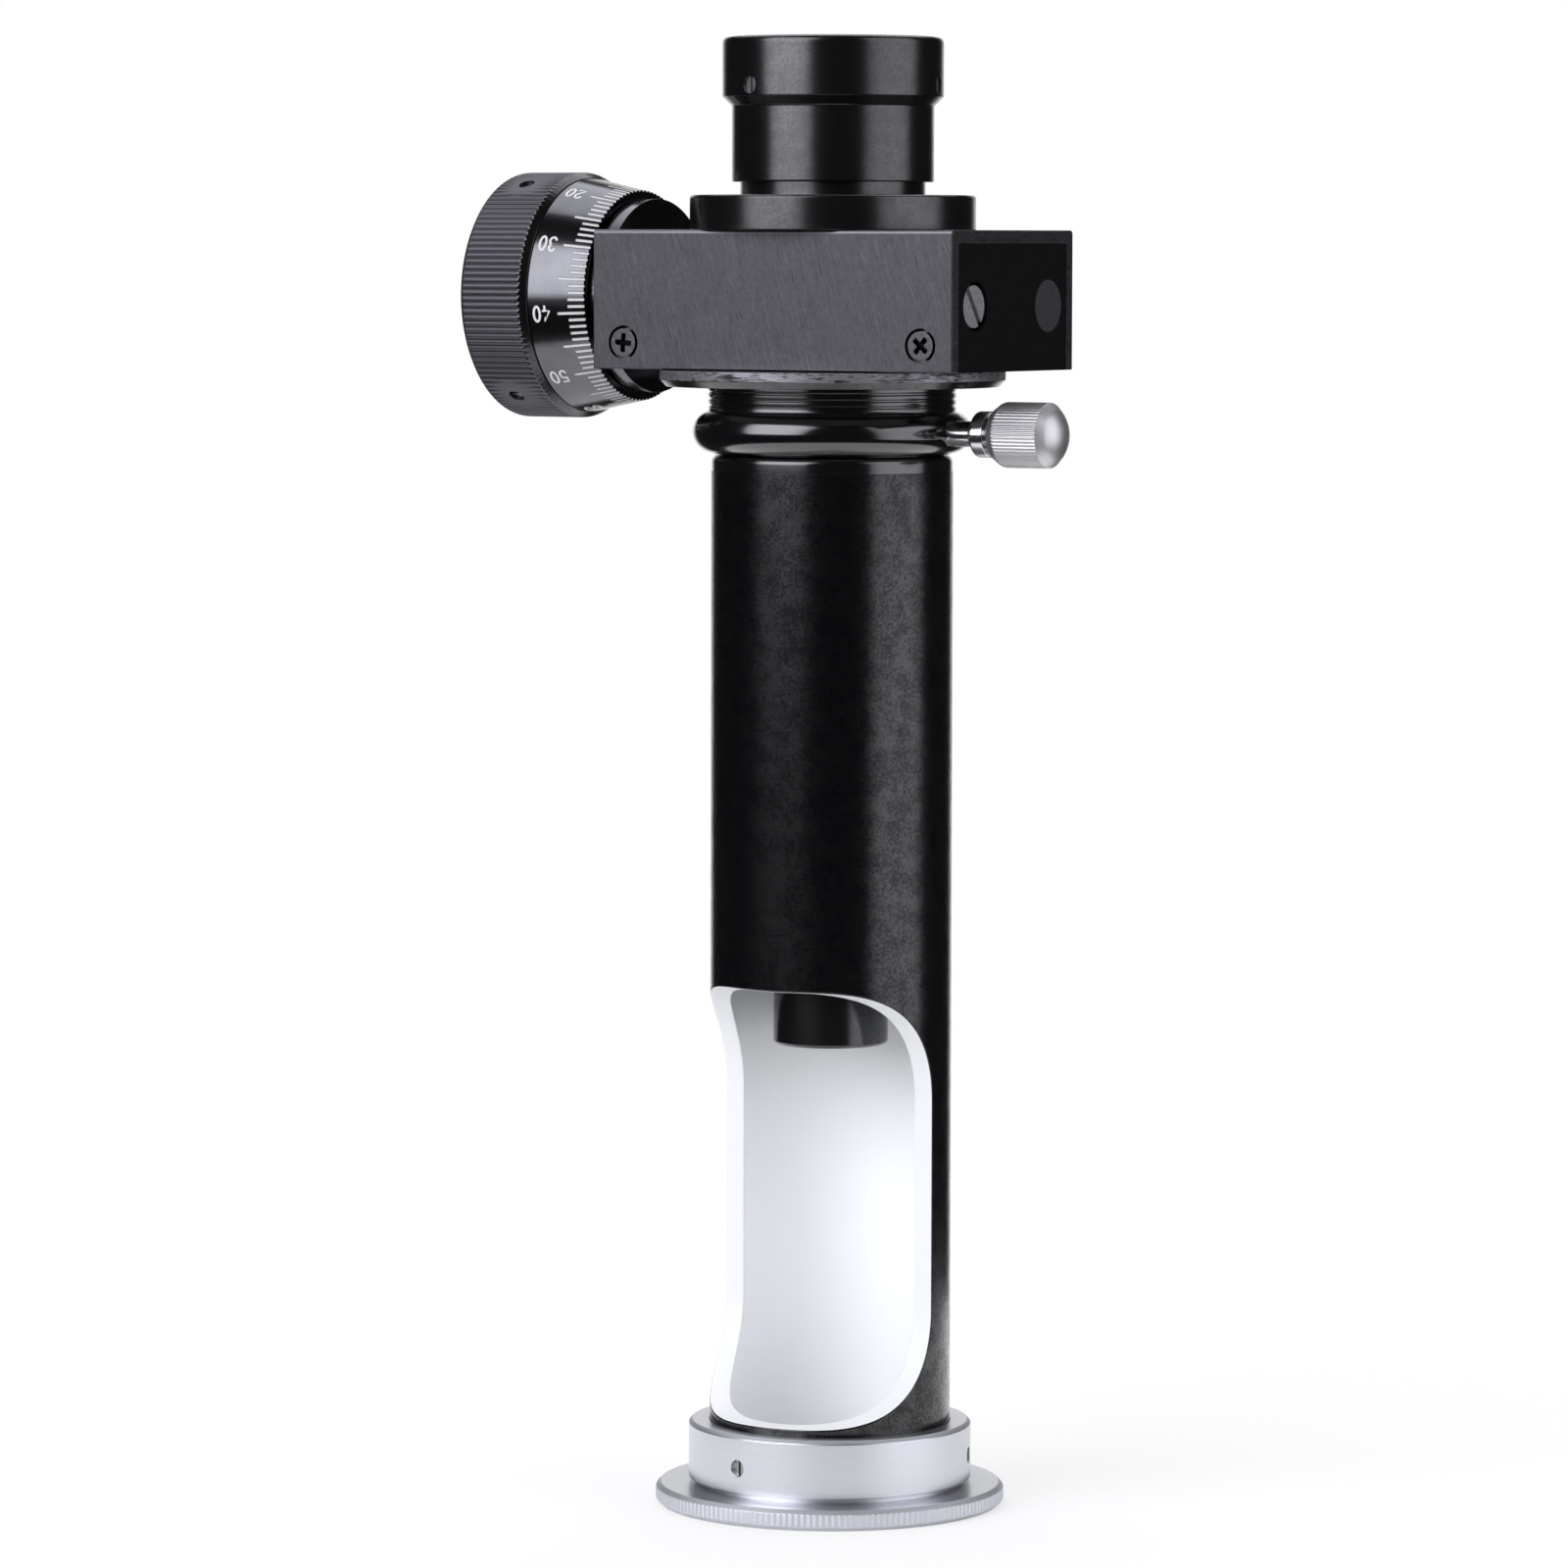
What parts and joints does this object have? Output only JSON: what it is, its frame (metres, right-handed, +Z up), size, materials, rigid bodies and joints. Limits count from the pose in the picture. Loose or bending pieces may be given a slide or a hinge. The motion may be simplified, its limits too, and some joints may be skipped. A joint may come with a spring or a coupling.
{
  "type": "measuring microscope",
  "caption": "Reading microscope: windowed tube on a round foot, sliding draw tube with clamping screw, box head with side micrometer drum that moves a crosshair, and focusing eyepiece.",
  "frame": {"origin": "centre of the foot's underside, on the optical axis, where the rim of the specimen aperture rests on the specimen", "axes": "+Z up the optical axis towards the eyepiece, -X along the micrometer drum, +X along the clamping screw, -Y out of the lighting window"},
  "size_m": [0.0735, 0.0406, 0.1701],
  "materials": {
    "bright_aluminium": "fine-turned and brushed, bright edges",
    "black_enamel": "gloss black enamel outside, white inside the window",
    "black_anodised": "satin black anodised",
    "brushed_dark_cover": "dark anodised, brushed across",
    "nickel_plate": "brushed nickel",
    "dark_steel": "blackened steel screws",
    "steel": "ground steel",
    "brass": "turned brass",
    "optical_glass": "coated lens and graticule glass"
  },
  "bodies": {
    "stand": {"foot": "bright_aluminium", "foot_set_screws": "dark_steel", "tube": "black_enamel", "collar": "black_enamel"},
    "clamp_pad": {"lock_pad": "brass"},
    "clamp_screw": {"lock_screw": "nickel_plate"},
    "draw": {"draw_tube": "black_anodised", "swivel_disc": "black_anodised", "objective_barrel": "black_anodised", "objective_lens": "optical_glass", "objective_ring": "black_anodised"},
    "head": {"housing_block": "black_anodised", "cover": "brushed_dark_cover", "cover_screws": "dark_steel", "pivot_sleeve": "black_anodised", "pivot_clip": "steel", "guide_rods": "steel", "rod_screw": "dark_steel", "rod_plug": "dark_steel", "bearing_sleeve": "black_anodised", "eyepiece_holder": "black_anodised", "holder_screws": "dark_steel", "scale_glass": "optical_glass", "scale_ring": "black_anodised", "return_springs": "steel"},
    "carriage": {"carriage_frame": "black_anodised", "carriage_nut": "brass", "reticle_glass": "optical_glass"},
    "drum": {"lead_screw": "steel", "lead_screw_clip": "steel", "thimble": "black_anodised", "knurled_ring": "black_anodised", "drum_end_screw": "nickel_plate", "drum_set_screws": "dark_steel"},
    "eyepiece_optics": {"lens_cell": "black_anodised", "eye_lens": "optical_glass", "eye_lens_ring": "black_anodised", "field_lens": "optical_glass", "field_lens_ring": "black_anodised"},
    "eyepiece_shell": {"eyepiece_barrel": "black_anodised", "eyepiece_cap": "black_anodised", "cap_set_screws": "dark_steel"}
  },
  "joints": [
    {"name": "focus_slide", "type": "slide", "parent": "stand", "child": "draw", "axis": [0, 0, 1], "range_m": [0, 0.008]},
    {"name": "clamp_slide", "type": "slide", "parent": "stand", "child": "clamp_pad", "axis": [1, 0, 0], "range_m": [0, 0.001]},
    {"name": "clamp_turn", "type": "hinge", "parent": "clamp_pad", "child": "clamp_screw", "pos_m": [0.02, 0, 0.1248], "axis": [1, 0, 0], "range_deg": [0, 722]},
    {"name": "head_swivel", "type": "hinge", "parent": "draw", "child": "head", "pos_m": [0, 0, 0.132], "axis": [0, 0, 1], "range_deg": [-135, 135]},
    {"name": "drum_turn", "type": "hinge", "parent": "head", "child": "drum", "pos_m": [-0.03, 0, 0.1403], "axis": [1, 0, 0], "range_deg": [-1440, 1440]},
    {"name": "crosshair_slide", "type": "slide", "parent": "head", "child": "carriage", "axis": [1, 0, 0], "range_m": [-0.0041, 0.0041], "deforming": ["return_springs"]},
    {"name": "eyepiece_slide", "type": "slide", "parent": "head", "child": "eyepiece_optics", "axis": [0, 0, 1], "range_m": [-0.0011, 0.0031]},
    {"name": "eyepiece_turn", "type": "hinge", "parent": "eyepiece_optics", "child": "eyepiece_shell", "pos_m": [0, 0, 0.16], "axis": [0, 0, 1], "range_deg": [-360, 1080]}
  ],
  "couplings": [
    {"joint": "clamp_turn", "follows": "clamp_slide", "rad_per_m": 12566},
    {"joint": "crosshair_slide", "follows": "drum_turn", "m_per_rad": -0.00015915},
    {"joint": "eyepiece_slide", "follows": "eyepiece_turn", "m_per_rad": 0.00015915}
  ]
}
